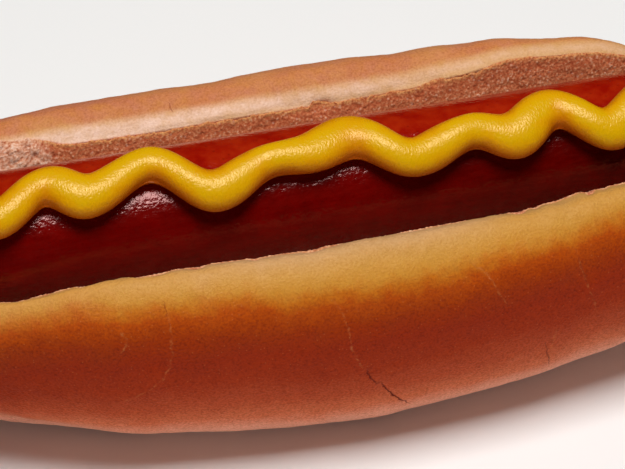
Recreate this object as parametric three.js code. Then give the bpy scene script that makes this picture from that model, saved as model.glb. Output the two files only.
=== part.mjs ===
// Hot dog: a split soft bun, a frankfurter lying in its pocket and a wavy line of mustard on top.
// Millimetres, +Z up. X runs along the bun, the near half of the bun is on the -Y side, and the
// flat underside is at z = 0.
import * as THREE from "three";
import { mergeVertices } from "three/addons/utils/BufferGeometryUtils.js";

const { clamp, degToRad, smoothstep } = THREE.MathUtils;

// ---- driving dimensions -------------------------------------------------------------------
const GAP = 0.3; // clearance between pieces that touch
const MERGE = 0.001; // points closer than this are one point

const SAUSAGE_RADIUS = 12.5;
const SAUSAGE_LENGTH = 166;
const SAUSAGE_TIP = 17; // length over which each end rounds off
const TIP_FULLNESS = 2.2; // 2 is an ellipse, higher is blunter
const AXIS_Z = 35; // height of the sausage axis above the base
const POCKET_RADIUS = SAUSAGE_RADIUS + GAP;

const BUN_HALF_LENGTH = 78;
const LIP_SHORTER = 0.045; // how much shorter the bun is along its lips than along its hinge
const LIP_TILT = 2.45; // the lips rise this much from the middle to the +X end
const LIP_ROUNDING = 8; // how late the lips turn down towards the tips, higher is later
const TIP_FACE = 0.1; // share of the cut face that is left at the tips
const BASE_SINK = 0.8; // depth of the rounded underside that is pressed flat
const BASE_FULLNESS = 4; // bluntness of the underside's ends
const BASE_SHARE = 0.3; // share of the crust's outline that belongs to the underside
// Each half of the bun: how far its side reaches, the height of its lobe, the place of its lip,
// the bluntness of its left and right ends, and how far the lip swings inwards at the ends.
const NEAR = {
  side: -1,
  width: 33.5,
  height: 43.6,
  lip: [18.2, 39.5],
  left: 1.85,
  right: 2.4,
  swing: 4,
};
const FAR = {
  side: 1,
  width: 36,
  height: 42.7,
  lip: [18.2, 40.3],
  left: 3.8,
  right: 2.2,
  swing: 0,
};
const CENTRE_Y = (NEAR.width - FAR.width) / 2; // the sausage axis lies this far off the middle

const BEAD_HALF_WIDTH = 3.3; // of the mustard
const BEAD_HEIGHT = 5;
const BEAD_WAIST = 0.42; // the bead is widest at this share of its height
const BEAD_FOOT = 40; // degrees below the waist at which the bead meets the sausage
const BEAD_END = 72; // the centre line runs this far to both sides
const BEAD_STEP = 0.25; // steps along the centre line
// Turns of the mustard: position along X, and degrees round the sausage from its top.
const BEAD_TURNS = [
  [-72, -22], [-66, -13], [-57, -29], [-46.8, -12.5], [-40.3, -23.5], [-28.8, -9.5], [-19, -33.5],
  [-8, -22], [-3, -21], [5.5, -11], [16.5, -32], [27.5, -22.5], [33.5, -28.5], [42, -15],
  [51.5, -34], [61, -15], [67, -26], [72, -20],
];

// ---- building a solid -----------------------------------------------------------------------
// A closed skin over a row of rings with the same number of points. Points that coincide are
// merged and triangles that collapse are left out, so the first and last ring may fold shut.
function skin(rings) {
  const round = rings[0].length;
  const index = [];
  for (let i = 0; i + 1 < rings.length; i++) {
    for (let j = 0; j < round; j++) {
      const here = i * round + j;
      const beside = i * round + ((j + 1) % round);
      index.push(here, beside + round, beside, here, here + round, beside + round);
    }
  }
  const open = new THREE.BufferGeometry();
  open.setAttribute("position", new THREE.Float32BufferAttribute(rings.flat(2), 3));
  open.setIndex(index);
  const merged = mergeVertices(open, MERGE);
  const corners = merged.getIndex().array;
  const kept = [];
  for (let i = 0; i < corners.length; i += 3) {
    const [a, b, c] = corners.slice(i, i + 3);
    if (a !== b && b !== c && c !== a) kept.push(a, b, c);
  }
  merged.setIndex(kept);
  return merged;
}

function piece(name, geometry, color, roughness) {
  geometry.computeVertexNormals();
  const material = new THREE.MeshStandardMaterial({ color, roughness, metalness: 0 });
  const mesh = new THREE.Mesh(geometry, material);
  mesh.name = name;
  mesh.position.y = CENTRE_Y;
  return mesh;
}

// ---- bun ------------------------------------------------------------------------------------
// Inside of one half: round the pocket under the sausage, then straight up the cut face to the
// lip. u runs from 0 at the hinge to 1 at the lip, and face is the share of the cut face left.
function inside(u, lipY, lipZ, face) {
  const rise = lipZ - AXIS_Z;
  const reach = Math.hypot(lipY, rise);
  const lean = Math.acos(POCKET_RADIUS / reach) - Math.atan2(rise, lipY);
  const arc = POCKET_RADIUS * (Math.PI / 2 - lean);
  const straight = face * Math.sqrt(reach ** 2 - POCKET_RADIUS ** 2);
  const along = u * (arc + straight);
  const turn = Math.min(along, arc) / POCKET_RADIUS;
  const beyond = Math.max(along - arc, 0);
  return new THREE.Vector2(
    POCKET_RADIUS * Math.sin(turn) + beyond * Math.sin(lean),
    AXIS_Z - POCKET_RADIUS * Math.cos(turn) + beyond * Math.cos(lean),
  );
}

// Crust of one half at the middle of the bun, from under the hinge, round the side, over the lobe
// and in to the lip.
function crustCurve({ width, height, lip }) {
  const outline = [
    [0, -BASE_SINK],
    [9, -BASE_SINK],
    [18, -0.2],
    [0.79 * width, 4.2],
    [0.945 * width, 12.5],
    [width, 22.5],
    [0.964 * width, height - 11],
    [0.867 * width, height - 4],
    [0.709 * width, height],
    [0.25 * width + 0.65 * lip[0], 0.7 * height + 0.3 * lip[1]],
    lip,
  ];
  return new THREE.SplineCurve(outline.map(([y, z]) => new THREE.Vector2(y, z)));
}

// The two outlines of one half at station s along the bun: pocket(u) and crust(u), both from the
// hinge to the lip. The thickness between them tapers to nothing at the tips.
function halfBun(s, half) {
  const part = Math.abs(s) / BUN_HALF_LENGTH;
  const lipY = half.lip[0] - half.swing * part ** 2;
  const lipZ = half.lip[1] + (LIP_TILT * s) / BUN_HALF_LENGTH;
  const face = TIP_FACE + (1 - TIP_FACE) * Math.sqrt(1 - part ** LIP_ROUNDING);
  const ends = s < 0 ? half.left : half.right;
  const middle = crustCurve(half);
  const place = (u, p) => [s * (1 - LIP_SHORTER * u * u), half.side * p.x, Math.max(p.y, 0)];
  return {
    pocket: (u) => place(u, inside(u, lipY, lipZ, face)),
    crust: (u) => {
      const fullness = ends + (BASE_FULLNESS - ends) * (1 - smoothstep(u, 0, BASE_SHARE));
      const taper = (1 - part ** fullness) ** (1 / fullness);
      const thickness = middle.getPoint(u).sub(inside(u, ...half.lip, 1));
      return place(u, inside(u, lipY, lipZ, face).addScaledVector(thickness, taper));
    },
  };
}

function bunGeometry() {
  const stations = 50;
  const down = 10; // divisions from the hinge up the inside of one half
  const over = 2 * down; // divisions over its crust
  const rings = [];
  for (let i = 0; i <= stations; i++) {
    const s = -BUN_HALF_LENGTH * Math.cos((Math.PI * i) / stations);
    const near = halfBun(s, NEAR);
    const far = halfBun(s, FAR);
    const tip = i === 0 || i === stations;
    // At a tip the crust folds onto the pocket, so both use the pocket's points.
    const crust = (half, j) => (tip ? half.pocket(Math.round(j / 2) / down) : half.crust(j / over));
    const ring = [];
    for (let j = 0; j < over; j++) ring.push(crust(near, j));
    for (let j = down; j > 0; j--) ring.push(near.pocket(j / down));
    for (let j = 0; j < down; j++) ring.push(far.pocket(j / down));
    for (let j = over; j > 0; j--) ring.push(crust(far, j));
    rings.push(ring);
  }
  return skin(rings);
}

// ---- sausage --------------------------------------------------------------------------------
// A straight frankfurter: its profile, from tip to tip, turned about the X axis.
function sausageGeometry() {
  const stations = 32;
  const around = 24;
  const straight = SAUSAGE_LENGTH / 2 - SAUSAGE_TIP;
  const profile = [];
  for (let i = 0; i <= stations; i++) {
    const x = (-SAUSAGE_LENGTH / 2) * Math.cos((Math.PI * i) / stations);
    const end = clamp((Math.abs(x) - straight) / SAUSAGE_TIP, 0, 1);
    const radius = SAUSAGE_RADIUS * (1 - end ** TIP_FULLNESS) ** (1 / TIP_FULLNESS);
    profile.push(new THREE.Vector2(radius, x));
  }
  const geometry = new THREE.LatheGeometry(profile, around);
  geometry.deleteAttribute("normal");
  geometry.deleteAttribute("uv");
  geometry.rotateZ(-Math.PI / 2);
  geometry.translate(0, 0, AXIS_Z);
  return mergeVertices(geometry, MERGE);
}

// ---- mustard --------------------------------------------------------------------------------
// Distance of the centre line from the top of the sausage, measured round its skin, at x.
function beadCentre(x) {
  const next = clamp(BEAD_TURNS.findIndex(([at]) => at >= x), 1, BEAD_TURNS.length - 1);
  const [x0, angle0] = BEAD_TURNS[next - 1];
  const [x1, angle1] = BEAD_TURNS[next];
  return degToRad(angle0 + (angle1 - angle0) * smoothstep(x, x0, x1)) * POCKET_RADIUS;
}

// Both edges of the bead at x: the reach of a round nozzle drawn along the centre line.
function beadEdges(x) {
  let low = Infinity;
  let high = -Infinity;
  for (let centre = -BEAD_END; centre <= BEAD_END; centre += BEAD_STEP) {
    const square = BEAD_HALF_WIDTH ** 2 - (x - centre) ** 2;
    if (square < 0) continue;
    low = Math.min(low, beadCentre(centre) - Math.sqrt(square));
    high = Math.max(high, beadCentre(centre) + Math.sqrt(square));
  }
  return [low, high];
}

// A bead that is round above and lies on the sausage below, with rounded ends.
function mustardGeometry() {
  const stations = 104;
  const over = 9; // divisions over the bead
  const under = 3; // divisions across its foot
  const crowding = 1.25; // brings the stations closer together at the ends
  const reach = BEAD_END + BEAD_HALF_WIDTH;
  const foot = degToRad(BEAD_FOOT);
  const rings = [];
  for (let i = 0; i <= stations; i++) {
    const q = (2 * i) / stations - 1;
    const x = reach * Math.sign(q) * (1 - (1 - Math.abs(q)) ** crowding);
    const end = clamp((reach - Math.abs(x)) / BEAD_HALF_WIDTH, 0, 1);
    const height = BEAD_HEIGHT * Math.sqrt(1 - (1 - end) ** 2);
    const [low, high] = beadEdges(clamp(x, -reach + BEAD_STEP / 10, reach - BEAD_STEP / 10));
    const half = end > 0 ? (high - low) / 2 : 0;
    // A point at a share v of the half width and a share h of the height.
    const point = (v, h) => {
      const angle = ((low + high) / 2 + half * v) / POCKET_RADIUS;
      const radius = POCKET_RADIUS + h * height;
      return [x, radius * Math.sin(angle), AXIS_Z + radius * Math.cos(angle)];
    };
    const ring = [];
    for (let j = 0; j <= over; j++) {
      const turn = -foot + (j / over) * (Math.PI + 2 * foot);
      const rise = Math.sin(turn);
      const share = rise > 0 ? 1 - BEAD_WAIST : BEAD_WAIST / Math.sin(foot);
      ring.push(point(-Math.cos(turn), BEAD_WAIST + share * rise));
    }
    for (let j = 1; j < under; j++) ring.push(point(Math.cos(foot) * (1 - (2 * j) / under), 0));
    rings.push(ring);
  }
  return skin(rings);
}

const hotDog = new THREE.Group();
hotDog.name = "hot_dog";
hotDog.add(piece("bun", bunGeometry(), 0xc98a3c, 0.6));
hotDog.add(piece("sausage", sausageGeometry(), 0x8e1f10, 0.3));
hotDog.add(piece("mustard", mustardGeometry(), 0xe6b400, 0.35));
export default hotDog;
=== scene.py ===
"""Hot dog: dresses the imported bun, sausage and mustard with crust, crumb, skin and sauce.

Surfaces are grids of points worked out with numpy in millimetres; make_piece turns them into
meshes in metres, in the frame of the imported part.
"""

import math

import bpy
import numpy as np
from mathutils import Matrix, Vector


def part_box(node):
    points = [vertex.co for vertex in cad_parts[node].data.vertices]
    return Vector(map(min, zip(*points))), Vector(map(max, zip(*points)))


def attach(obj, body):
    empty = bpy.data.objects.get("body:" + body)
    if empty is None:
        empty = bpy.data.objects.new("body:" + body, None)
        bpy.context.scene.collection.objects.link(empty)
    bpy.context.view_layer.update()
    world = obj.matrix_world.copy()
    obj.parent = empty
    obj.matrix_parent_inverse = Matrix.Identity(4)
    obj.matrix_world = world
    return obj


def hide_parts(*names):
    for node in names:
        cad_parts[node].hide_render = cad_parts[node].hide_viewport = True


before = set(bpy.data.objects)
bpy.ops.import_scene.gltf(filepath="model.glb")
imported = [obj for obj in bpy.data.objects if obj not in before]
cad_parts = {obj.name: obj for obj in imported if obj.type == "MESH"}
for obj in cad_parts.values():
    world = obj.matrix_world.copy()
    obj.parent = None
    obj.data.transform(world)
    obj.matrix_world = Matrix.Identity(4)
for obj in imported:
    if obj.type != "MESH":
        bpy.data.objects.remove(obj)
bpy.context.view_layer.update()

# ---- sizes, in millimetres -------------------------------------------------------------------
MM = 0.001
SAUSAGE_LOW, SAUSAGE_HIGH = (np.array(corner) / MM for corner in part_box("sausage"))
SAUSAGE_RADIUS = (SAUSAGE_HIGH[2] - SAUSAGE_LOW[2]) / 2
SAUSAGE_HALF_LENGTH = (SAUSAGE_HIGH[0] - SAUSAGE_LOW[0]) / 2
AXIS_Y, AXIS_Z = (SAUSAGE_LOW[1:] + SAUSAGE_HIGH[1:]) / 2
SAUSAGE_TIP = 17.0
TIP_FULLNESS = 2.2
# Painted light: the sausage's colour is painted brightest a little behind its top, radians round from
# there.
PAINTED_LIGHT_TURN = 0.35
GAP = 0.3
POCKET_RADIUS = SAUSAGE_RADIUS + GAP

BUN_HALF_LENGTH = 78.0
LIP_SHORTER = 0.045
LIP_TILT = 2.45
LIP_ROUNDING = 8
TIP_FACE = 0.1
BASE_SINK = 0.8
BASE_FULLNESS = 4
BASE_SHARE = 0.3
# Each half: its side, width and height, its lip's place (y, z) at the middle, how full its tips
# are at -X and +X, and how far the lip swings in towards them. The rest are (x, value) pairs.
# cut: how far from the lip the knife went through the crust. wave: gentle rise and fall of the
# lip. pale: how much wider than usual the light strip beside the cut is. The last table gives, on
# the near half, how floury that strip is, and on the far half how much cream is painted on it as
# painted highlight and painted rim light.
NEAR = dict(
    side=-1, width=33.5, height=43.6, lip=(18.2, 39.5), left=1.85, right=2.4, swing=4,
    cut=((-90, 0), (-58, 0.6), (-45, 1.5), (-25, 2.8), (0, 3.4), (20, 3.4), (36, 2.8), (50, 1.5), (90, 0)),
    wave=((-90, -0.6), (-57, -1.3), (-46, -0.35), (-24, -0.6), (-4, -1.5), (14, -1.7), (33, -2.25),
          (39, -1.6), (45, -0.5), (90, 0)),
    pale=((-90, -6.4), (-57, -5.6), (-48, -4.2), (-42, -2.7), (-36, -1.3), (-24, 0.4), (-4, 2.7),
          (14, 2.4), (36, 0.2), (50, -1.6), (90, -4)),
    flour=((-90, 0.06), (-35, 0.08), (-12, 0.24), (16, 0.22), (32, 0.05), (90, 0)),
)
FAR = dict(
    side=1, width=36.0, height=42.7, lip=(18.2, 40.3), left=3.8, right=2.3, swing=0,
    cut=((-90, 3), (-57, 3.4), (-48, 2.4), (-40, 0), (90, 0)),
    wave=((-90, 1), (-56, 1), (-44, 0.6), (-28, -0.1), (-10, -0.3), (6, -1), (23, -0.9), (33, 0.2),
          (44, 1.7), (54, 1.1), (70, 0.4), (90, 0)),
    pale=((-90, 0), (-50, 0.4), (-10, 0), (30, 0.4), (60, 1), (90, 1)),
    flour=((-90, 1), (-20, 1), (10, 0.86), (26, 0.44), (90, 0.4)),
)
# Under the sausage the two halves bake alike, over this width.
SEAM_WIDTH = 24.0

BEAD_HALF_WIDTH = 3.3
BEAD_HEIGHT = 5.0
BEAD_WAIST = 0.42
BEAD_FOOT = math.radians(40)
BEAD_SOFTENING = 60
BEAD_END = 72.0
# How far the flanks turn in below the waist, as a share of the foot's angle.
BEAD_TUCK = 1.35
# The share of its height that the bead keeps where it closes.
BEAD_CLOSED = 0.25
# The bead stands this far off the sausage's radius. Its underside sinks in from there by the
# second value, so that no gap shows from behind.
BEAD_LIFT = GAP - 0.08
BEAD_SINK = 0.45
# The bead's wave: at each x, degrees round the sausage from its top. Then its share of width.
BEAD_TURNS = (
    (-72, -22), (-66, -13), (-56.5, -31.5), (-47, -12.5), (-40.8, -25.5), (-29.3, -9), (-19.4, -35.5),
    (-8.5, -20.5), (-3, -20.5), (5.5, -11), (15.3, -34.5), (27, -22.5), (33.5, -30.5), (41.5, -14.3),
    (50.8, -36.5), (61, -15), (67, -26), (72, -20),
)
BEAD_WIDTHS = (
    (-75, 1), (-52, 0.93), (-48, 0.9), (-44, 1.1), (-38.5, 1), (-31, 0.83), (-20, 0.98), (-16, 1),
    (-8, 0.77), (3.5, 1.2), (14.3, 0.91), (18.5, 1.02), (25.5, 0.82), (35.5, 1.18), (48, 0.9),
    (54, 1.1), (75, 1),
)

# Finer skin over the cut: half length, how far down into the pocket it goes, how deep its bed is.
STRIP_END = 74.0
STRIP_REACH = 10.5
STRIP_BED = 0.6

# Gentle rises and dips of the crust: half, x, half length, rise.
SWELLS = (
    (NEAR, -40, 7, 0.5), (NEAR, 4, 7, 0.35), (NEAR, 41, 6, -0.35), (NEAR, 57, 5, 0.4),
    (FAR, -13, 8, -0.4), (FAR, 6, 12, 0.45), (FAR, 46, 12, -0.9), (FAR, 60, 5, 0.3),
)

# Nicks in the near edge of the cut: x, half width, depth.
NICKS = (
    (-24.8, 1.6, 0.5), (-15, 0.8, 0.25), (31.5, 1.2, 0.5), (34.6, 0.7, 0.3), (44.4, 0.9, 0.6),
    (47, 1, 0.3),
)

# The far cut is torn from this x on towards -X, and down to this depth. The near one is a little
# torn all along.
TORN_FROM = -41.0
TORN_DEPTH = 24.0
NEAR_TORN = 0.3
# Unevenness along the lip is read on a straight line, this far to each side.
LIP_LINE = 40.0

# Open cracks in the crust: half, depth, then (x, distance from the lip) along each.
CRACKS = (
    (NEAR, 0.9, ((0.9, 30), (1.5, 31.3), (2.1, 32.7), (3.1, 34.2))),
    (NEAR, 1.0, ((3.4, 33.4), (4.9, 36.7), (6.7, 39.7), (8.7, 42.3), (9.6, 43.9))),
    (NEAR, 0.5, ((33.8, 31.6), (34.4, 34.7), (35.2, 37.8), (35.8, 41))),
    (NEAR, 0.3, ((-31.6, 9.8), (-31.3, 12.6))),
    (NEAR, 0.25, ((39.5, 15), (40.3, 17.9), (41.2, 21.4))),
    (FAR, 0.4, ((-21.6, 5.2), (-21.4, 4.2), (-21.2, 2.8))),
)
# Stretch lines, where the dough pulled thin: half, share, path.
THREADS = (
    (NEAR, 1.0, ((-31.3, 10.5), (-31.2, 15.8), (-31.4, 19), (-31.9, 21.6), (-32.9, 23.5), (-34.6, 25.1),
                 (-38, 26.7), (-43.5, 28.2))),
    (NEAR, 1.0, ((-3.9, 14.8), (-2.7, 17.8), (-1.7, 20.9), (-1.5, 25), (-0.3, 28.3), (1.4, 30.8))),
    (NEAR, 0.9, ((20, 12.8), (22.7, 15.1), (23.7, 16.6), (25, 19.5), (26.2, 22))),
    (NEAR, 0.9, ((39, 13), (39.8, 16.3), (40.8, 20), (41.6, 22.6), (43.6, 28.2))),
    (NEAR, 0.9, ((35.5, 39.5), (35.2, 34.6), (35.4, 31.5), (35.7, 28.8))),
    (NEAR, 1.0, ((-39.8, 12), (-38.8, 13.9), (-38.6, 15.4), (-40, 17))),
    (FAR, 0.5, ((-21.8, 6.5), (-21.3, 1.8))),
)


# ---- noise and meshes ------------------------------------------------------------------------
def smooth(x):
    """Eases from 0 to 1: three x squared less two x cubed, flat outside."""
    t = np.clip(x, 0, 1)
    return t * t * (3 - 2 * t)


def scattered(cell, seed):
    """A number from 0 to 1 for each whole-number place, the same on every run."""
    x, y, z = (cell[..., k].astype(np.int64).astype(np.uint32) for k in range(3))
    n = x * np.uint32(73856093) ^ y * np.uint32(19349663) ^ z * np.uint32(83492791)
    n = n ^ np.uint32(seed * 7919 + 101)
    n = (n ^ (n >> np.uint32(13))) * np.uint32(1274126177)
    n = (n ^ (n >> np.uint32(15))) * np.uint32(2246822519)
    return ((n >> np.uint32(8)) & np.uint32(0xFFFF)) / 65535.0


def swell(place, size, seed):
    """Soft lumps of one size, from -1 to 1: scattered numbers on a lattice, eased between."""
    at = place / size
    cell = np.floor(at)
    part = smooth(at - cell)
    total = np.zeros(place.shape[:-1])
    for corner in np.ndindex(2, 2, 2):
        weight = np.prod(np.where(np.array(corner), part, 1 - part), axis=-1)
        total += weight * scattered(cell + corner, seed)
    return 2 * total - 1


def rough(place, size, layers, seed):
    """Soft lumps with finer ones on top, each half the size and half the height."""
    return sum(swell(place, np.array(size) / 2**k, seed + k) / 2**k for k in range(layers))


def pores(place, size, seed):
    """Distance to the nearest of points strewn one to a cell, in cells."""
    at = place / np.array(size)
    cell = np.floor(at)
    nearest = np.full(place.shape[:-1], 9.0)
    for step in np.ndindex(3, 3, 3):
        other = cell + np.array(step) - 1
        point = other + np.stack([scattered(other, seed + k) for k in range(3)], -1)
        nearest = np.minimum(nearest, np.linalg.norm(at - point, axis=-1))
    return nearest


def eased_through(points, x):
    """A curve that eases from each (place, value) pair to the next."""
    places, values = np.array(points, float).T
    k = np.clip(np.searchsorted(places, x) - 1, 0, len(places) - 2)
    part = smooth((x - places[k]) / (places[k + 1] - places[k]))
    return values[k] + (values[k + 1] - values[k]) * part


def beside_path(place, path):
    """Distance from each place on a plane to a chain of straight steps, less than 0 on its right,
    and how far along the chain the nearest point lies, from 0 to 1."""
    path = np.array(path, float)
    nearest = np.full(place.shape[:-1], 99.0)
    along = np.zeros(place.shape[:-1])
    count = len(path) - 1
    for k, (start, end) in enumerate(zip(path[:-1], path[1:])):
        step = end - start
        off = place - start
        part = np.clip(off @ step / (step @ step), 0, 1)
        gap = np.linalg.norm(off - part[..., None] * step, axis=-1)
        left = np.sign(step[0] * off[..., 1] - step[1] * off[..., 0])
        closer = gap < np.abs(nearest)
        nearest = np.where(closer, gap * left, nearest)
        along = np.where(closer, (k + part) / count, along)
    return nearest, along


def outward(points):
    """Unit normals of a grid of points whose columns close on themselves: rows run along X, and
    the columns of each row run round the piece so that its outside is on their left."""
    along = np.gradient(points, axis=0)
    beside = np.roll(points, -1, axis=1) - np.roll(points, 1, axis=1)
    normal = np.cross(along, beside)
    return normal / np.maximum(np.linalg.norm(normal, axis=-1, keepdims=True), 1e-9)


def make_piece(name, node, points, material, same_as, stands=True, **marks):
    """Turns a grid of points into a closed skin, which may stand for a node or lie on it.

    Columns close on themselves. same_as gives for each point the number of the point that it
    coincides with, so that ends are folded or drawn together. marks are values kept at each
    point, which the material reads.
    """
    rows, columns = points.shape[:2]
    here = np.arange((rows - 1) * columns).reshape(rows - 1, columns)
    beside = np.roll(here, -1, axis=1)
    faces = np.concatenate([
        np.stack([here, beside + columns, beside], -1).reshape(-1, 3),
        np.stack([here, here + columns, beside + columns], -1).reshape(-1, 3),
    ])
    faces = same_as.reshape(-1)[faces]
    flat = (faces == np.roll(faces, 1, axis=1)).any(axis=1)
    used, faces = np.unique(faces[~flat], return_inverse=True)
    mesh = bpy.data.meshes.new(name)
    mesh.from_pydata(points.reshape(-1, 3)[used] * MM, [], faces.reshape(-1, 3))
    for mark, values in marks.items():
        attribute = mesh.attributes.new(mark, "FLOAT", "POINT")
        attribute.data.foreach_set("value", values.reshape(-1)[used].astype(np.float32))
    mesh.shade_smooth()
    mesh.materials.append(material)
    piece = bpy.data.objects.new(name, mesh)
    bpy.context.scene.collection.objects.link(piece)
    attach(piece, "root")
    if stands:
        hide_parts(node)


def drawn_ends(rows, columns):
    """Numbers of points where the first and last row each come together in one point."""
    same = np.arange(rows * columns).reshape(rows, columns)
    same[0] = same[0, 0]
    same[-1] = same[-1, 0]
    return same


# ---- bun -------------------------------------------------------------------------------------
def spline_through(points, t):
    """Catmull-Rom curve through the points, evenly spaced in t from 0 to 1."""
    points = np.array(points, float)
    last = len(points) - 1
    at = np.clip(t, 0, 1) * last
    k = np.minimum(at.astype(int), last - 1)
    f = (at - k)[..., None]
    a, b, c, d = (points[np.clip(k + step, 0, last)] for step in (-1, 0, 1, 2))
    leave, arrive = (c - a) / 2, (d - b) / 2
    curve = (2 * b - 2 * c + leave + arrive) * f**3
    return curve + (3 * c - 3 * b - 2 * leave - arrive) * f**2 + leave * f + b


def inside(u, lip_y, lip_z, face):
    """Inside of one half: an arc of the pocket, then a straight cut face up to the lip."""
    rise = lip_z - AXIS_Z
    reach = np.hypot(lip_y, rise)
    lean = np.arccos(POCKET_RADIUS / reach) - np.arctan2(rise, lip_y)
    arc = POCKET_RADIUS * (math.pi / 2 - lean)
    straight = face * np.sqrt(reach**2 - POCKET_RADIUS**2)
    along = u * (arc + straight)
    turn = np.minimum(along, arc) / POCKET_RADIUS
    beyond = np.maximum(along - arc, 0)
    y = POCKET_RADIUS * np.sin(turn) + beyond * np.sin(lean)
    z = AXIS_Z - POCKET_RADIUS * np.cos(turn) + beyond * np.cos(lean)
    return np.stack([y, z], -1)


def crust_outline(half):
    """Points of one half's crust at the middle of the bun, from under the hinge to the lip."""
    width, height, (lip_y, lip_z) = half["width"], half["height"], half["lip"]
    return (
        (0, -BASE_SINK), (9, -BASE_SINK), (18, -0.2), (0.79 * width, 4.2), (0.945 * width, 12.5),
        (width, 22.5), (0.964 * width, height - 11), (0.867 * width, height - 4),
        (0.709 * width, height), (0.25 * width + 0.65 * lip_y, 0.7 * height + 0.3 * lip_z),
        (lip_y, lip_z),
    )


def half_bun(half, stations, u, crust):
    """Crust or inside of one half, without relief: the thickness of its middle section, set on
    the pocket's surface and tapered towards the tips like a superellipse."""
    s, u = np.meshgrid(stations, u, indexing="ij")
    part = np.abs(s) / BUN_HALF_LENGTH
    lip_y = half["lip"][0] - half["swing"] * part**2
    lip_z = half["lip"][1] + LIP_TILT * s / BUN_HALF_LENGTH + eased_through(half["wave"], s)
    face = TIP_FACE + (1 - TIP_FACE) * np.sqrt(1 - part**LIP_ROUNDING)
    section = inside(u, lip_y, lip_z, face)
    if crust:
        ends = np.where(s < 0, half["left"], half["right"])
        fullness = ends + (BASE_FULLNESS - ends) * (1 - smooth(u / BASE_SHARE))
        taper = (1 - part**fullness) ** (1 / fullness)
        thickness = spline_through(crust_outline(half), u) - inside(u, *half["lip"], 1)
        section = section + thickness * taper[..., None]
    x = s * (1 - LIP_SHORTER * u * u)
    y = AXIS_Y + half["side"] * section[..., 0]
    return np.stack([x, y, section[..., 1]], -1)


def from_lip(points, lip_first):
    """Distance along each row's section from the lip, which is its first or last column."""
    steps = np.linalg.norm(np.diff(points, axis=1), axis=-1)
    start = np.zeros((len(points), 1))
    if lip_first:
        return np.concatenate([start, np.cumsum(steps, axis=1)], axis=1)
    return np.concatenate([np.cumsum(steps[:, ::-1], axis=1)[:, ::-1], start], axis=1)


def lip_shape(points, span, side, normal):
    """Moves the lip and the edge of the cut unevenly, by a ragged amount along X with nicks in
    it. With the points go the edge of the cut and the share of torn bread at each."""
    x = points[..., 0]
    near = side < 0
    tip = smooth((BUN_HALF_LENGTH - np.abs(x)) / 4)
    cut = np.where(near, eased_through(NEAR["cut"], x), eased_through(FAR["cut"], x))
    line = np.stack([x, LIP_LINE * side, 0 * x], -1)
    ragged = rough(line, 5, 3, 51) * 0.17 + swell(line, 0.9, 57) * 0.09
    ragged -= 0.5 * smooth((swell(line, 5.5, 59) - 0.45) / 0.3)
    nick = sum(near * depth * np.exp(-np.abs((x - place) / width) ** 3) for place, width, depth in NICKS)
    ragged = (ragged - nick) * tip
    moved = points + normal * (0.7 * near * ragged * np.exp(-(((span - cut - 0.8) / 1.3) ** 2)))[..., None]
    moved[..., 2] += ragged * np.exp(-((span / 1.2) ** 2))
    edge = cut * tip - ragged * np.where(near, 0.8, 1.6) + 1.3 * nick * tip
    torn = np.where(near, 0, smooth((TORN_FROM - x + 3 * swell(points, 3, 58)) / 6))
    torn = torn * smooth((span + TORN_DEPTH) / 10)
    return moved, edge, torn


def bun_points():
    """The bun as one ring of points for each station along X: near crust from hinge to lip, near
    inside back down, far inside up, far crust back down. With it go, for each point, the distance
    from the lip (less than 0 inside), the side it is on, and the number of the point that it
    coincides with."""
    rows, down = 331, 50
    over = 2 * down
    stations = -BUN_HALF_LENGTH * np.cos(math.pi * np.linspace(0, 1, rows))
    crust_u = 1 - (1 - np.linspace(0, 1, over + 1)) ** 1.3
    inside_u = 1 - (1 - np.linspace(0, 1, down + 1)) ** 1.15
    bands = [
        (NEAR, True, crust_u[:-1], crust_u),
        (NEAR, False, inside_u[:0:-1], inside_u[::-1]),
        (FAR, False, inside_u[:-1], inside_u),
        (FAR, True, crust_u[:0:-1], crust_u[::-1]),
    ]
    points, spans, sides = [], [], []
    for half, crust, own, whole in bands:
        grid = half_bun(half, stations, whole, crust)
        lip_first = whole[0] > whole[-1]
        span = from_lip(grid, lip_first)[:, : len(own)]
        points.append(grid[:, : len(own)])
        spans.append(span if crust else -span)
        sides.append(np.full(len(own), half["side"]))
    points = np.concatenate(points, axis=1)
    span = np.concatenate(spans, axis=1)
    side = np.broadcast_to(np.concatenate(sides), span.shape)

    # fold the tips: there the crust lies on the inside, with half as many points
    columns = points.shape[1]
    same = np.arange(rows * columns).reshape(rows, columns)
    near_inside, far_inside, far_crust = over, over + down, over + 2 * down
    j = np.arange(over)
    for row in (0, rows - 1):
        same[row, j] = row * columns + near_inside + down - (j + 1) // 2
        same[row, far_crust + j] = row * columns + far_inside + (over - j + 1) // 2
    points = points.reshape(-1, 3)[same]

    return points, span, side, same


def beside_lines(lines, x, span, side):
    """For the nearest of some lines on the crust: the distance from it, and its share, which fades
    towards the line's ends."""
    plane = np.stack([x, span], -1)
    nearest = np.full(x.shape, 5.0)
    share = np.zeros(x.shape)
    for half, strength, path in lines:
        off, along = beside_path(plane, path)
        here = (side == half["side"]) * smooth(along / 0.15) * smooth((1 - along) / 0.15)
        nearest = np.where(np.abs(off) < np.abs(nearest), off, nearest)
        share = np.maximum(share, strength * here * (1 - smooth(np.abs(off) - 1.5)))
    return nearest, share


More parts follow.
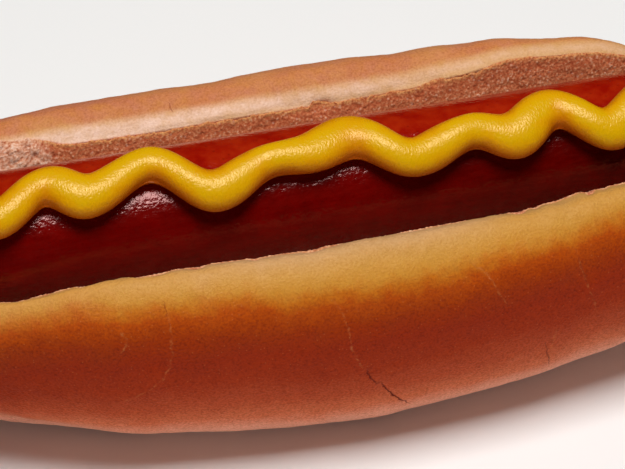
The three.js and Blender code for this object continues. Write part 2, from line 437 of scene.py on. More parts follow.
def baked_and_floury(points, span, side, edge):
    """How far each point of the crust is baked, which grows with the distance from the lip, and
    how floury it is on the near half. On the far half that share is painted highlight and painted
    rim light, with a painted sheen along part of the crest. Where the halves join, both distances
    ease to their mean, and so do the two rules."""
    x = points[..., 0]
    across = smooth(0.5 + (points[..., 1] - AXIS_Y) / SEAM_WIDTH)
    whole = np.where(side < 0, span[:, :1], span[:, -1:])
    seam = 1 - np.abs(2 * across - 1)
    even = span + seam * ((span[:, :1] + span[:, -1:]) / 2 - whole)

    near_baked = even - 7 - eased_through(NEAR["pale"], x)
    near_flour = eased_through(NEAR["flour"], x) * np.exp(-(((even - edge - 2) / 3.5) ** 2))
    far_baked = np.minimum(1.3 * even, 5.6) + 0.8 * np.maximum(even - 13, 0)
    far_baked += 1.2 * smooth((-24 - x) / 12) * smooth((even - 6) / 4) - eased_through(FAR["pale"], x)
    # painted highlight and painted rim light: a cream band beside the far lip, and a paler far crust
    far_painted_highlight = eased_through(FAR["flour"], x) * (1 - smooth((even - 1.4) / 2.8))
    far_painted_highlight *= 1 - 0.55 * smooth((x + 28) / 16) * np.exp(-((even / 1.1) ** 2))
    # painted sheen: a paler band along the far crest towards +X
    painted_crest_sheen = smooth((x - 15) / 20) * (1 - smooth((x - 52) / 14))
    far_painted_highlight += 0.3 * painted_crest_sheen * smooth((even - 9) / 3) * (1 - smooth((even - 14) / 3))
    far_painted_highlight = (0.17 + 0.83 * far_painted_highlight) * (1 - smooth((even - 12) / 8))
    return near_baked + (far_baked - near_baked) * across, near_flour + (far_painted_highlight - near_flour) * across


def dress_bun(material):
    """Bun with its relief. The skin moves along its normal: soft dents and fine wrinkles on the
    crust, pores in the pocket, grooves at the cracks, low ridges at the stretch lines. Along the
    cut the bread is sunk, to make room for the finer skin of cut_bread."""
    points, span, side, same = bun_points()
    normal = outward(points)
    x = points[..., 0]
    near = side < 0
    tip = smooth((BUN_HALF_LENGTH - np.abs(x)) / 4)
    above_base = smooth(points[..., 2] / 3)
    moved, edge, torn = lip_shape(points, span, side, normal)
    crumb = 1 - smooth((span - edge) / 0.5 + 0.5)

    crust_relief = -0.3 * swell(points, 24, 61) - 0.16 * rough(points, (7, 6, 5), 3, 64)
    crust_relief += 0.05 * rough(points, 1.5, 2, 71)
    crust_relief += 0.09 * rough(points, 2.4, 2, 75) * near * np.exp(-(((span - edge - 4) / 5) ** 2))
    for half, place, length, rise in SWELLS:
        here = (side == half["side"]) * smooth(span / 6) * smooth(np.abs(points[..., 1] - AXIS_Y) / 10)
        crust_relief += rise * here * np.exp(-(((x - place) / length) ** 2))
    crack_off, crack = beside_lines(CRACKS, x, span, side)
    thread_off, thread = beside_lines(THREADS, x, span, side)
    crust_relief -= 0.3 * crack * np.exp(-((crack_off / 0.6) ** 2))
    crust_relief += 0.08 * thread * np.exp(-((thread_off / 0.8) ** 2))

    # at the lip itself the skin turns sharply, so relief fades there
    off_lip = smooth(np.abs(span) / 0.8)
    pocket = 1 - smooth(pores(points, (3.2, 1.9, 1.9), 21) / 0.55)
    sunk = smooth((edge - span) / 1.2) * off_lip * smooth((span + STRIP_REACH) / 1.5)
    sunk = sunk * smooth((STRIP_END - 2 - np.abs(x)) / 3)
    crumb_relief = -0.3 * pocket * smooth((edge - span) / 1.2) * off_lip - STRIP_BED * sunk
    lift = (1 - crumb) * crust_relief * off_lip + crumb * crumb_relief
    moved = moved + normal * (lift * tip * above_base)[..., None]
    moved[..., 2] = np.maximum(moved[..., 2], 0)
    baked, floury = baked_and_floury(points, span, side, edge)
    torn = torn + NEAR_TORN * near * smooth((span + TORN_DEPTH) / 10)
    # the grain mark darkens the crumb in the pocket's dents: painted shade
    make_piece(
        "soft_bun", "bun", moved.reshape(-1, 3)[same], material, same,
        crumb=crumb, baked=baked, floury=floury, torn=torn, grain=0.3 * (1 - pocket),
        crack_off=crack_off, crack=crack, thread_off=thread_off, thread=thread,
    )


def cut_bread(name, half, material):
    """Skin of one half's cut face, finer than the bun under it: grains half a millimetre across
    on uneven ground, holes among them, and lumps apart where the bread is torn. It stands just
    proud of the bread, and dips under it at its edges."""
    rows, deep, over, under = 1001, 52, 24, 8
    stations = STRIP_END * np.linspace(-1, 1, rows)
    inner = half_bun(half, stations, np.linspace(0.5, 1, 400), False)
    reach = from_lip(inner, False)
    keep = reach[rows // 2] < STRIP_REACH + 1
    inner, reach = inner[:, keep], reach[:, keep]
    pick = np.linspace(0, inner.shape[1] - 1, deep).astype(int)
    inner, reach = inner[:, pick], reach[:, pick]
    outer = half_bun(half, stations, np.linspace(1, 0.9, over), True)
    points = np.concatenate([inner[:, :-1], outer], axis=1)
    span = np.concatenate([-reach[:, :-1], from_lip(outer, True)], axis=1)
    if half["side"] < 0:
        points, span = points[:, ::-1], span[:, ::-1]
    side = np.full(span.shape, half["side"])
    normal = np.cross(np.gradient(points, axis=0), np.gradient(points, axis=1))
    normal /= np.linalg.norm(normal, axis=-1, keepdims=True)
    moved, edge, torn = lip_shape(points, span, side, normal)

    x = points[..., 0]
    line = np.stack([x, LIP_LINE * side, 0 * x], -1)
    edge = edge + 0.2 * swell(line, 1.1, 141) + 0.16 * swell(line, 0.45, 143)
    grain = 1 - smooth(pores(points, (0.6, 0.5, 0.5), 21) / 0.75)
    holes = 1 - smooth((pores(points, (2.8, 1.6, 1.6), 31) - 0.1) / 0.3)
    lumps = 1 - smooth((pores(points, (2.4, 2, 2), 45) - 0.2) / 0.45)
    ground = rough(points, (4, 1.8, 1.8), 2, 41)
    lift = 0.1 + 0.12 * grain + 0.1 * ground - 0.11 * holes + torn * (0.45 * lumps - 0.15)
    lift = np.maximum(lift, -0.8 * STRIP_BED)
    shown = smooth((edge - span) / 0.35 + 0.5) * smooth((span + STRIP_REACH) / 1)
    shown = shown * smooth((STRIP_END - 3 - np.abs(x)) / 2)
    lift = lift * shown - STRIP_BED * (1 - shown)
    top = moved + normal * lift[..., None]
    pick = np.linspace(top.shape[1] - 1, 0, under).astype(int)
    bottom = (moved - normal * 1.6 * STRIP_BED)[:, pick]
    bottom[[0, -1]] = top[[0, -1], :1]
    ring = np.concatenate([top, bottom], axis=1)
    # paler towards the sausage
    depth = smooth((-span - 2) / 5)
    # the grain mark makes the crumb paler on its grains and darker in its holes: painted light and shade
    marks = dict(
        crumb=1 + 0 * span, torn=NEAR_TORN * (side < 0) + torn * (0.6 + 0.4 * lumps),
        grain=grain - 0.4 * holes + 0.3 * depth - 0.1,
        rim=np.exp(-(((edge - span) / 0.7) ** 2)), crack_off=5 + 0 * span, thread_off=5 + 0 * span,
    )
    marks = {key: np.concatenate([mark, mark[:, pick]], axis=1) for key, mark in marks.items()}
    make_piece(name, "bun", ring, material, drawn_ends(rows, ring.shape[1]), stands=False, **marks)


# ---- sausage ---------------------------------------------------------------------------------
def sausage_profile(x):
    """The sausage's radius at each x, whose ends follow a superellipse, and how far into its end
    the place lies, from 0 to 1."""
    end = np.clip((np.abs(x) - SAUSAGE_HALF_LENGTH + SAUSAGE_TIP) / SAUSAGE_TIP, 0, 1)
    return SAUSAGE_RADIUS * np.maximum(1 - end**TIP_FULLNESS, 0) ** (1 / TIP_FULLNESS), end


def dress_sausage(material):
    """Sausage: its round profile turned about X, with fine wrinkles along its length, soft dents,
    tiny bumps, and folds drawn in at the tips."""
    rows, columns = 701, 132
    x = -SAUSAGE_HALF_LENGTH * np.cos(math.pi * np.linspace(0, 1, rows))[:, None]
    turn = np.linspace(0, 2 * math.pi, columns, endpoint=False)[None, :]
    radius, end = sausage_profile(x)
    # places on the skin, rolled up so that patterns meet where the turn closes
    skin = np.stack(np.broadcast_arrays(
        x, SAUSAGE_RADIUS * np.sin(turn), SAUSAGE_RADIUS * np.cos(turn)), -1)
    wrinkles = rough(skin, (9, 1.1, 1.1), 3, 91) * 0.012
    dents = swell(skin, (17, 8, 8), 95) * 0.1 - 0.02
    bumps = rough(skin, (1.5, 1.1, 1.1), 2, 97) * 0.012
    folds = np.cos(11 * turn + 0.8 * np.sin(3 * turn)) * 0.5 * smooth((end - 0.55) / 0.4)
    relief = np.minimum(wrinkles + dents + bumps, GAP * 0.6) * smooth(radius / 4)
    radius = radius + relief - np.abs(folds) * smooth(radius / 5)
    dimple = 1.6 * np.exp(-((radius / 1.8) ** 2)) * np.sign(x)
    points = np.stack(np.broadcast_arrays(
        x - dimple, AXIS_Y + radius * np.sin(turn), AXIS_Z + radius * np.cos(turn)), -1)
    # painted light and shade: the skin's colour is lighter round its top and darker below it
    upper = smooth((np.cos(turn - PAINTED_LIGHT_TURN) - 0.55) / 0.4)
    # below its top the skin is deeper towards +X
    upper = 1.3 * upper - 0.3 - 0.5 * (1 - upper) * smooth((x - 5) / 35)
    make_piece(
        "frankfurter", "sausage", points, material, drawn_ends(rows, columns),
        drawn_in=np.broadcast_to(end, points.shape[:2]),
        upper=np.broadcast_to(upper, points.shape[:2]),
    )


# ---- mustard ---------------------------------------------------------------------------------
def bead_centre(x):
    """Centre line of the mustard: millimetres round the sausage from its top, at each x."""
    return np.radians(eased_through(BEAD_TURNS, x)) * POCKET_RADIUS


def softened(rows):
    """Evens out values from row to row, by many passes of one quarter, one half, one quarter."""
    for _ in range(BEAD_SOFTENING):
        rows = np.concatenate([rows[:1], (rows[:-2] + 2 * rows[1:-1] + rows[2:]) / 4, rows[-1:]])
    return rows


def dress_mustard(material):
    """Mustard: the skin of a round bead swept along its centre line. The height over each place
    is the waist plus a half circle of the distance from the centre line, softened so that it runs
    smoothly round the turns; below the waist the bead draws in to a narrower foot."""
    rows, across, flank, under = 1101, 50, 7, 8
    end = BEAD_END + BEAD_HALF_WIDTH
    x = -end * np.sin(math.pi / 2 * np.linspace(1, -1, rows))
    x = np.sign(x) * end * (np.abs(x) / end) ** 0.9
    widest = 1.25 * BEAD_HALF_WIDTH
    reach = np.arange(-widest, widest + 0.05, 0.1)
    centre_x = np.clip(x[:, None] + reach, -BEAD_END, BEAD_END)
    centre_v = bead_centre(centre_x)
    swollen = 1 + 0.06 * swell(np.stack([centre_x, 0 * centre_x, 0 * centre_x], -1), 6, 101)
    wide = BEAD_HALF_WIDTH * (0.15 + 0.8 * swollen) * eased_through(BEAD_WIDTHS, centre_x)
    half = np.sqrt(np.maximum(wide**2 - (x[:, None] - centre_x) ** 2, 0))
    low, high = softened((centre_v - half).min(axis=1)), softened((centre_v + half).max(axis=1))

    turn = np.linspace(0, math.pi, across + 1)
    spread = (1 - np.cos(turn)) / 2
    v = low[:, None] + (high - low)[:, None] * spread
    gap = np.hypot(x[:, None, None] - centre_x[:, None], v[..., None] - centre_v[:, None])
    share = np.clip(1 - (gap / wide[:, None]) ** 2, 0, 1).max(axis=-1)
    nearest = np.argmin(gap, axis=-1)
    tall = BEAD_HEIGHT * np.take_along_axis(swollen, nearest, axis=1)
    dome = softened(tall * (BEAD_WAIST + (1 - BEAD_WAIST) * np.sqrt(share)))
    side = softened(tall[:, [0, -1]])

    tuck = np.linspace(0, 1, flank + 1)[1:]
    inward = 1 - np.cos(BEAD_FOOT * BEAD_TUCK * tuck)
    drop = 1 - np.sin(BEAD_FOOT * BEAD_TUCK * tuck) / math.sin(BEAD_FOOT * BEAD_TUCK)
    room = np.minimum(BEAD_HALF_WIDTH, (high - low) / 2)[:, None]
    beyond = np.clip((np.abs(x) - BEAD_END) / BEAD_HALF_WIDTH, 0, 1)
    closing = np.sqrt(1 - beyond**2)[:, None]
    right_v = high[:, None] - room * inward
    right_h = side[:, 1:] * BEAD_WAIST * drop
    left_v = low[:, None] + room * inward
    left_h = side[:, :1] * BEAD_WAIST * drop
    floor_v = right_v[:, -1:] + (left_v[:, -1:] - right_v[:, -1:]) * np.linspace(0, 1, under + 2)[1:-1]
    ring_v = np.concatenate([v, right_v, floor_v, left_v[:, ::-1]], axis=1)
    ring_h = np.concatenate([dome, right_h, 0 * floor_v, left_h[:, ::-1]], axis=1)
    ring_h = ring_h * (BEAD_CLOSED + (1 - BEAD_CLOSED) * closing)
    ring_h[[0, -1]] = BEAD_HEIGHT * BEAD_WAIST * BEAD_CLOSED

    flat = np.stack(np.broadcast_arrays(x[:, None], ring_v, ring_h), -1)
    ripple = rough(flat, (1.1, 1.6, 1.6), 2, 111) * 0.012 + swell(flat, 7, 115) * 0.12
    ring_h = ring_h + ripple * smooth(ring_h / 1.5)
    angle = ring_v / POCKET_RADIUS
    stands_on = sausage_profile(x)[0][:, None] + BEAD_LIFT - BEAD_SINK * (1 - smooth(ring_h))
    radius = stands_on + ring_h
    points = np.stack(np.broadcast_arrays(
        x[:, None], AXIS_Y + radius * np.sin(angle), AXIS_Z + radius * np.cos(angle)), -1)
    make_piece(
        "mustard_line", "mustard", points, material, drawn_ends(rows, ring_v.shape[1]),
        height=ring_h / BEAD_HEIGHT,
    )


# ---- materials -------------------------------------------------------------------------------
def paint(red, green, blue):
    """A colour given as it looks on a screen, 0 to 255, in the linear values that shaders use."""
    seen = np.array([red, green, blue]) / 255
    linear = np.where(seen <= 0.04045, seen / 12.92, ((seen + 0.055) / 1.055) ** 2.4)
    return (*linear.tolist(), 1.0)


def add(tree, kind, inputs=None, **settings):
    """Adds a node. Inputs are values, or sockets of other nodes to link to."""
    made = tree.nodes.new(kind)
    for name, value in settings.items():
        setattr(made, name, value)
    for name, value in (inputs or {}).items():
        if isinstance(value, bpy.types.NodeSocket):
            tree.links.new(value, made.inputs[name])
        else:
            made.inputs[name].default_value = value
    return made


def maths(tree, operation, *values):
    """One step of arithmetic."""
    inputs = dict(enumerate(values))
    return add(tree, "ShaderNodeMath", inputs, operation=operation).outputs[0]


def blend(tree, share, under, over, mode="MIX"):
    """Lays one colour over another by a share."""
    made = add(tree, "ShaderNodeMix", data_type="RGBA", blend_type=mode)
    for name, value in ((0, share), (6, under), (7, over)):
        if isinstance(value, bpy.types.NodeSocket):
            tree.links.new(value, made.inputs[name])
        else:
            made.inputs[name].default_value = value
    return made.outputs[2]


def ramp(tree, value, low, high, stops):
    """Colours at places from low to high along a value."""
    share = add(tree, "ShaderNodeMapRange", {0: value, 1: low, 2: high}).outputs[0]
    made = add(tree, "ShaderNodeValToRGB", {0: share})
    made.color_ramp.interpolation = "LINEAR"
    elements = made.color_ramp.elements
    for index, (place, colour) in enumerate(stops):
        element = elements[index] if index < 2 else elements.new(1.0)
        element.position = (place - low) / (high - low)
        element.color = colour
    return made.outputs[0]


def new_group(name, inputs, outputs):
    """An empty shader group with float or vector sockets, and its two end nodes."""
    tree = bpy.data.node_groups.new(name, "ShaderNodeTree")
    for socket, value in inputs.items():
        kind = "NodeSocketVector" if value is None else "NodeSocketFloat"
        made = tree.interface.new_socket(name=socket, in_out="INPUT", socket_type=kind)
        if value is not None:
            made.default_value = value
    for socket in outputs:
        tree.interface.new_socket(name=socket, in_out="OUTPUT", socket_type="NodeSocketFloat")
    return tree, tree.nodes.new("NodeGroupInput").outputs, tree.nodes.new("NodeGroupOutput").inputs


def mottle_group():
    """Uneven tone: cloudy noise less its middle value, from about -1 to 1, times an amount."""
    tree, given, result = new_group(
        "mottle", {"Place": None, "Size": 5.0, "Fineness": 3.0, "Amount": 1.0}, ["Tone"])
    scale = maths(tree, "DIVIDE", 1.0, given["Size"])
    cloud = add(tree, "ShaderNodeTexNoise", {
        "Vector": given["Place"], "Scale": scale, "Detail": given["Fineness"], "Roughness": 0.6})
    centred = maths(tree, "SUBTRACT", cloud.outputs[0], 0.5)
    tone = maths(tree, "MULTIPLY", maths(tree, "MULTIPLY", centred, 3.2), given["Amount"])
    tree.links.new(tone, result["Tone"])
    return tree


def fleck_group():
    """Small spots: near strewn points, of which only a share has one."""
    tree, given, result = new_group(
        "flecks", {"Place": None, "Size": 1.0, "Spread": 0.35, "Share": 0.4}, ["Mask"])
    scale = maths(tree, "DIVIDE", 1.0, given["Size"])
    cells = add(tree, "ShaderNodeTexVoronoi", {
        "Vector": given["Place"], "Scale": scale, "Randomness": 1.0})
    near = add(tree, "ShaderNodeMapRange", {
        0: cells.outputs["Distance"], 1: maths(tree, "MULTIPLY", given["Spread"], 0.4),
        2: given["Spread"], 3: 1.0, 4: 0.0}, interpolation_type="SMOOTHSTEP").outputs[0]
    apart = add(tree, "ShaderNodeSeparateColor", {0: cells.outputs["Color"]})
    chosen = maths(tree, "LESS_THAN", apart.outputs[0], given["Share"])
    tree.links.new(maths(tree, "MULTIPLY", near, chosen), result["Mask"])
    return tree


def wrinkle_group():
    """Fine creases along X: narrow valleys where a drawn-out noise passes its middle value."""
    tree, given, result = new_group(
        "wrinkles", {"Place": None, "Long": 8.0, "Wide": 1.0}, ["Height"])
    one = maths(tree, "DIVIDE", 1.0, given["Long"])
    other = maths(tree, "DIVIDE", 1.0, given["Wide"])
    scale = add(tree, "ShaderNodeCombineXYZ", {0: one, 1: other, 2: other}).outputs[0]
    drawn = add(tree, "ShaderNodeVectorMath", {0: given["Place"], 1: scale},
                operation="MULTIPLY").outputs[0]
    noise = add(tree, "ShaderNodeTexNoise", {
        "Vector": drawn, "Scale": 1.0, "Detail": 3.0, "Roughness": 0.55, "Distortion": 0.3})
    off = maths(tree, "ABSOLUTE", maths(tree, "SUBTRACT", noise.outputs[0], 0.5))
    height = add(tree, "ShaderNodeMapRange", {0: off, 1: 0.0, 2: 0.12},
                 interpolation_type="SMOOTHSTEP").outputs[0]
    tree.links.new(height, result["Height"])
    return tree


MOTTLE, FLECKS, WRINKLES = mottle_group(), fleck_group(), wrinkle_group()


def effect(tree, group, **inputs):
    """One use of a shared effect, with its own values."""
    made = add(tree, "ShaderNodeGroup", node_tree=group)
    for name, value in inputs.items():
        if isinstance(value, bpy.types.NodeSocket):
            tree.links.new(value, made.inputs[name])
        else:
            made.inputs[name].default_value = value
    return made.outputs[0]


def new_material(name, **finish):
    """A material with one shader. Finish gives the shader's plain values."""
    material = bpy.data.materials.new(name)
    material.use_nodes = True
    tree = material.node_tree
    shader = tree.nodes["Principled BSDF"]
    for socket, value in finish.items():
        shader.inputs[socket.replace("_", " ")].default_value = value
    place = add(tree, "ShaderNodeTexCoord").outputs["Object"]
    place = add(tree, "ShaderNodeMapping", {0: place, 3: (1 / MM,) * 3}).outputs[0]
    return material, tree, shader, place


def mark(tree, name):
    """A value kept at the points of the mesh."""
    return add(tree, "ShaderNodeAttribute", attribute_name=name).outputs["Fac"]


def bake_and_crumb():
    """Bun: crust colours by the stage of baking, uneven in tone and finely speckled, its rosy underside
    partly painted bounce light; cream where floury, and on the far half painted highlight and rim
    light; open crumb where it was cut, coloured as in shade with painted red bounce light, painted
    lighter on its grains and darker in its holes; painted shade in the cracks."""
    material, tree, shader, place = new_material(
        "baked_bun", Specular_IOR_Level=0.12, Sheen_Weight=0.2, Sheen_Roughness=0.3)
    shader.inputs["Sheen Tint"].default_value = (1.0, 0.86, 0.78, 1)
    link = tree.links.new
    broad = effect(tree, MOTTLE, Place=place, Size=9.0, Fineness=2.0, Amount=1.0)
    middle = effect(tree, MOTTLE, Place=place, Size=2.2, Fineness=3.0, Amount=0.9)
    stage = maths(tree, "ADD", mark(tree, "baked"), maths(tree, "ADD", broad, middle))
    # from the light strip at the cut, over the well baked shoulder, to the rosy underside, whose
    # pale pink is partly the paler bottom crust and partly painted light bounced from below
    crust = ramp(tree, stage, -4, 46, (
        (-3, paint(186, 136, 68)), (-1, paint(192, 136, 54)), (1, paint(198, 140, 55)),
        (3, paint(196, 132, 44)), (5, paint(187, 103, 20)), (7, paint(174, 71, 5)),
        (9, paint(163, 60, 1)), (11, paint(155, 49, 0)), (15, paint(156, 41, 0)),
        (20, paint(169, 50, 4)), (26, paint(193, 77, 36)), (31, paint(217, 110, 68)),
        (36, paint(238, 156, 126)), (46, paint(246, 180, 154)),
    ))
    uneven = maths(tree, "ADD", 1.0, maths(tree, "MULTIPLY", middle, 0.45))
    # cream: flour on the near half, painted highlight and painted rim light on the far half
    floury = maths(tree, "MULTIPLY", mark(tree, "floury"), uneven)
    crust = blend(tree, maths(tree, "MULTIPLY", floury, 0.85), crust, paint(238, 199, 175))
    speckle = effect(tree, MOTTLE, Place=place, Size=0.42, Fineness=2.0, Amount=1.5)
    dark = maths(tree, "MAXIMUM", speckle, 0.0)
    pale = maths(tree, "MAXIMUM", maths(tree, "MULTIPLY", speckle, -1.0), 0.0)
    # the well baked crust is the most speckled
    share = add(tree, "ShaderNodeMapRange", {0: stage, 1: 2.0, 2: 9.0, 3: 0.22, 4: 0.65}).outputs[0]
    crust = blend(tree, maths(tree, "MULTIPLY", dark, share), crust, (0.6, 0.45, 0.25, 1), "MULTIPLY")
    share = maths(tree, "MULTIPLY", share, 0.75)
    crust = blend(tree, maths(tree, "MULTIPLY", pale, share), crust, (1.35, 1.5, 1.7, 1), "MULTIPLY")
    specks = effect(tree, FLECKS, Place=place, Size=0.6, Spread=0.28, Share=0.18)
    crust = blend(tree, maths(tree, "MULTIPLY", specks, 0.22), crust, paint(218, 134, 78))
    wander = effect(tree, MOTTLE, Place=place, Size=1.3, Fineness=3.0, Amount=0.4)
    beside = maths(tree, "ADD", mark(tree, "thread_off"), wander)
    thread = add(tree, "ShaderNodeMapRange", {
        0: maths(tree, "ABSOLUTE", beside), 1: 0.04, 2: 0.26, 3: 0.5, 4: 0.0}).outputs[0]
    broken = maths(tree, "ADD", 0.25, maths(tree, "MULTIPLY", effect(
        tree, MOTTLE, Place=place, Size=0.9, Fineness=3.0, Amount=1.0), 0.9))
    broken = maths(tree, "MAXIMUM", broken, 0.06)
    thread = maths(tree, "MULTIPLY", maths(tree, "MULTIPLY", thread, broken), mark(tree, "thread"))
    crust = blend(tree, thread, crust, paint(214, 136, 76))
    off = maths(tree, "ADD", mark(tree, "crack_off"), wander)
    deep = mark(tree, "crack")
    wide = maths(tree, "ADD", maths(tree, "MULTIPLY", deep, 0.18), 0.07)
    painted_crack_shade = add(tree, "ShaderNodeMapRange", {
        0: maths(tree, "DIVIDE", maths(tree, "ABSOLUTE", off), wide), 1: 0.3, 2: 1.0, 3: 1.0, 4: 0.0,
    }, interpolation_type="SMOOTHSTEP").outputs[0]
    painted_crack_shade = maths(tree, "MULTIPLY", painted_crack_shade, maths(tree, "POWER", deep, 0.6))
    # painted shade: the cracks, which are also grooves in the skin, are painted dark red-brown along their
    # middle
    crust = blend(tree, painted_crack_shade, crust, paint(118, 26, 4))

    grain = mark(tree, "grain")
    drawn = add(tree, "ShaderNodeVectorMath", {0: place, 1: (0.5, 1, 1)}, operation="MULTIPLY")
    patches = effect(tree, MOTTLE, Place=drawn.outputs[0], Size=2.6, Fineness=2.0, Amount=1.3)
    fine = effect(tree, MOTTLE, Place=place, Size=0.45, Fineness=2.0, Amount=0.9)
    # painted light and shade: paler on the raised grains, darker in the holes and dents
    painted_grain_light = maths(tree, "MULTIPLY", grain, maths(tree, "ADD", 0.65, maths(tree, "MULTIPLY", patches, 0.5)))
    tone = maths(tree, "ADD", maths(tree, "ADD", painted_grain_light, fine), -0.35)
    # painted shade: the crumb is the shaded reddish brown it shows in the pocket, with painted red light
    # bounced from the sausage
    crumb = ramp(tree, tone, -1, 1, (
        (-1, paint(154, 66, 36)), (-0.4, paint(182, 92, 56)), (0.1, paint(200, 120, 80)),
        (0.5, paint(220, 156, 124)), (1, paint(236, 190, 166)),
    ))
    crumbs = effect(tree, FLECKS, Place=place, Size=0.9, Spread=0.34, Share=0.3)
    crumb = blend(tree, maths(tree, "MULTIPLY", crumbs, 0.32), crumb, paint(236, 190, 166))
    rusty = maths(tree, "MULTIPLY", mark(tree, "rim"), maths(tree, "ADD", 0.6, fine))
    crumb = blend(tree, rusty, crumb, paint(212, 150, 90))
    crumb_pale = ramp(tree, tone, -1, 1, (
        (-1, paint(172, 98, 66)), (-0.4, paint(210, 152, 120)), (0.1, paint(230, 188, 162)),
        (0.6, paint(240, 206, 184)), (1, paint(245, 216, 198)),
    ))
    crumb = blend(tree, mark(tree, "torn"), crumb, crumb_pale)
    link(blend(tree, mark(tree, "crumb"), crust, crumb), shader.inputs["Base Color"])

    crust_rough = maths(tree, "ADD", 0.5, maths(tree, "MULTIPLY", speckle, 0.12))
    crumb_share = mark(tree, "crumb")
    rest = maths(tree, "MULTIPLY", maths(tree, "SUBTRACT", 0.9, crust_rough), crumb_share)
    link(maths(tree, "ADD", crust_rough, rest), shader.inputs["Roughness"])
    bump = add(tree, "ShaderNodeBump", {"Height": speckle, "Strength": 0.35, "Distance": 0.1 * MM})
    link(bump.outputs[0], shader.inputs["Normal"])
    return material


def cured_skin():
    """Sausage: wet dark red skin, mottled, paler along fine creases, darker at its tips.
    Painted light and shade make it lighter behind its top and darker below it.
    """
    material, tree, shader, place = new_material(
        "smoked_skin", Specular_IOR_Level=0.45)
    shader.inputs["Specular Tint"].default_value = (1.0, 0.6, 0.56, 1)
    link = tree.links.new
    tone = effect(tree, MOTTLE, Place=place, Size=3.5, Fineness=4.0, Amount=0.45)
    tone = maths(tree, "ADD", tone, mark(tree, "upper"))
    # painted light and shade: the painted top light mark runs the skin from dark red below to bright red
    # behind its top
    skin = ramp(tree, tone, -1, 1.2, (
        (-1, paint(74, 1, 0)), (0, paint(103, 1, 0)), (0.8, paint(140, 13, 1)), (1.2, paint(158, 34, 6)),
    ))
    creases = effect(tree, WRINKLES, Place=place, Long=9.0, Wide=1.0)
    streak = maths(tree, "MULTIPLY", maths(tree, "SUBTRACT", 1.0, creases), 0.03)
    skin = blend(tree, streak, skin, paint(176, 46, 30))
    spots = effect(tree, FLECKS, Place=place, Size=1.1, Spread=0.3, Share=0.3)
    skin = blend(tree, maths(tree, "MULTIPLY", spots, 0.3), skin, paint(74, 1, 0))
    skin = blend(tree, maths(tree, "MULTIPLY", mark(tree, "drawn_in"), 0.5), skin, paint(80, 4, 2))
    link(skin, shader.inputs["Base Color"])
    fine = effect(tree, MOTTLE, Place=place, Size=0.9, Fineness=2.0, Amount=1.0)
    link(maths(tree, "ADD", 0.17, maths(tree, "MULTIPLY", fine, 0.06)), shader.inputs["Roughness"])
    height = maths(tree, "ADD", maths(tree, "MULTIPLY", creases, 0.08), fine)
    bump = add(tree, "ShaderNodeBump", {"Height": height, "Strength": 0.7, "Distance": 0.06 * MM})
    link(bump.outputs[0], shader.inputs["Normal"])
    return material


def yellow_sauce():
    """Mustard: smooth yellow sauce, painted darker and more orange towards its foot as painted shade, with
    tiny bumps.
    """
    material, tree, shader, place = new_material(
        "mustard_sauce", Specular_IOR_Level=0.42)
    shader.inputs["Specular Tint"].default_value = (1.0, 0.8, 0.5, 1)
    link = tree.links.new
    tone = effect(tree, MOTTLE, Place=place, Size=4.0, Fineness=3.0, Amount=0.08)
    painted_shade_level = maths(tree, "ADD", mark(tree, "height"), tone)
    # painted shade: the sauce darkens to deep orange towards its foot, as its lower flank looks in shade
    sauce = ramp(tree, painted_shade_level, 0, 1, (
        (0, paint(182, 79, 0)), (0.42, paint(180, 81, 0)), (0.65, paint(189, 99, 0)),
        (0.8, paint(198, 123, 0)), (0.92, paint(210, 149, 0)), (1, paint(208, 158, 0)),
    ))
    spots = effect(tree, FLECKS, Place=place, Size=1.6, Spread=0.16, Share=0.25)
    sauce = blend(tree, maths(tree, "MULTIPLY", spots, 0.35), sauce, paint(206, 128, 0))
    link(sauce, shader.inputs["Base Color"])
    # grainy, drawn out across the line, so that its shine has teeth
    drawn = add(tree, "ShaderNodeVectorMath", {0: place, 1: (1, 0.6, 0.6)}, operation="MULTIPLY")
    fine = effect(tree, MOTTLE, Place=drawn.outputs[0], Size=0.36, Fineness=1.0, Amount=1.0)
    link(maths(tree, "ADD", 0.3, maths(tree, "MULTIPLY", fine, 0.08)), shader.inputs["Roughness"])
    bump = add(tree, "ShaderNodeBump", {"Height": fine, "Strength": 0.6, "Distance": 0.05 * MM})
    link(bump.outputs[0], shader.inputs["Normal"])
    return material


# ---- the room --------------------------------------------------------------------------------
# The camera: millimetres, and degrees round from the -Y side and up from the floor.
CAMERA_TARGET = (-0.28, -1.25, 25.1)
CAMERA_DISTANCE = 396.4
CAMERA_AZIMUTH = -13.65
CAMERA_ELEVATION = 43
CAMERA_LENS = 126.72


def aim(thing, at):
    """Turns a camera or lamp so that it looks at a point."""
    thing.rotation_mode = "QUATERNION"
    thing.rotation_quaternion = (Vector(at) - thing.location).to_track_quat("-Z", "Y")


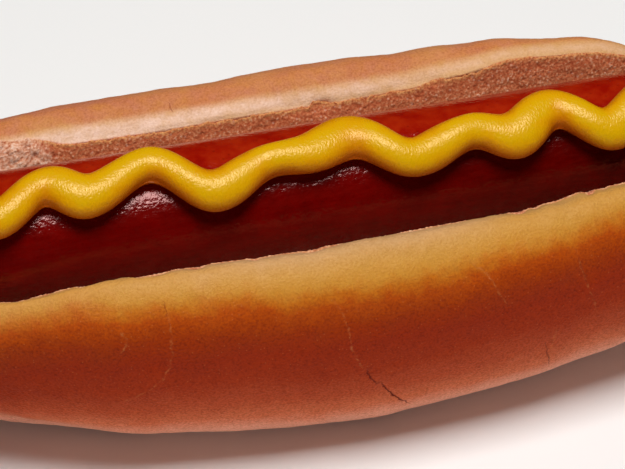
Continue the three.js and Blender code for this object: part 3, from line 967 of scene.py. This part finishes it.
def soft_lamp(name, azimuth, elevation, distance, size, power, shines=True):
    """A square lamp that looks at the middle of the hot dog, and may show in glossy skins.
    Azimuth 0 is at the -Y side."""
    lamp = bpy.data.lights.new(name, "AREA")
    lamp.size = size
    lamp.energy = power
    thing = bpy.data.objects.new(name, lamp)
    thing.visible_glossy = shines
    around, up = math.radians(azimuth), math.radians(elevation)
    thing.location = (
        distance * math.sin(around) * math.cos(up),
        -distance * math.cos(around) * math.cos(up),
        distance * math.sin(up),
    )
    aim(thing, (0, 0, 0.03))
    bpy.context.scene.collection.objects.link(thing)


def set_room():
    """Pale floor, soft light from above, weak ones from the front and behind, and the camera."""
    scene = bpy.context.scene
    floor_mesh = bpy.data.meshes.new("floor")
    half = 3.0
    floor_mesh.from_pydata([(-half, -half, 0), (half, -half, 0), (half, half, 0), (-half, half, 0)],
                           [], [(0, 1, 2, 3)])
    floor = bpy.data.objects.new("floor", floor_mesh)
    scene.collection.objects.link(floor)
    pale, _, shader, _ = new_material("pale_floor", Roughness=0.9, Specular_IOR_Level=0.1)
    shader.inputs["Base Color"].default_value = (0.86, 0.85, 0.83, 1)
    floor_mesh.materials.append(pale)
    floor.visible_glossy = False

    world = bpy.data.worlds.new("soft_room")
    world.use_nodes = True
    world.node_tree.nodes["Background"].inputs[0].default_value = (1, 1, 1, 1)
    world.node_tree.nodes["Background"].inputs[1].default_value = 0.06
    scene.world = world
    world.cycles_visibility.glossy = False
    soft_lamp("overhead", 0, 85, 0.9, 0.4, 8.4)
    soft_lamp("front", -12, 9, 1.2, 0.6, 1.8, shines=False)
    soft_lamp("behind", 172, 9, 1.2, 0.6, 1.0, shines=False)

    lens = bpy.data.cameras.new("camera")
    lens.sensor_width = 36.0
    lens.lens = CAMERA_LENS
    lens.clip_start = 0.01
    camera = bpy.data.objects.new("camera", lens)
    target = Vector(CAMERA_TARGET) * MM
    around, up = math.radians(CAMERA_AZIMUTH), math.radians(CAMERA_ELEVATION)
    back = Vector((math.sin(around) * math.cos(up), -math.cos(around) * math.cos(up), math.sin(up)))
    camera.location = target + back * CAMERA_DISTANCE * MM
    aim(camera, target)
    scene.collection.objects.link(camera)
    scene.camera = camera
    scene.view_settings.view_transform = "Standard"


set_room()
BREAD = bake_and_crumb()
dress_bun(BREAD)
cut_bread("near_crumb", NEAR, BREAD)
cut_bread("far_crumb", FAR, BREAD)
dress_sausage(cured_skin())
dress_mustard(yellow_sauce())
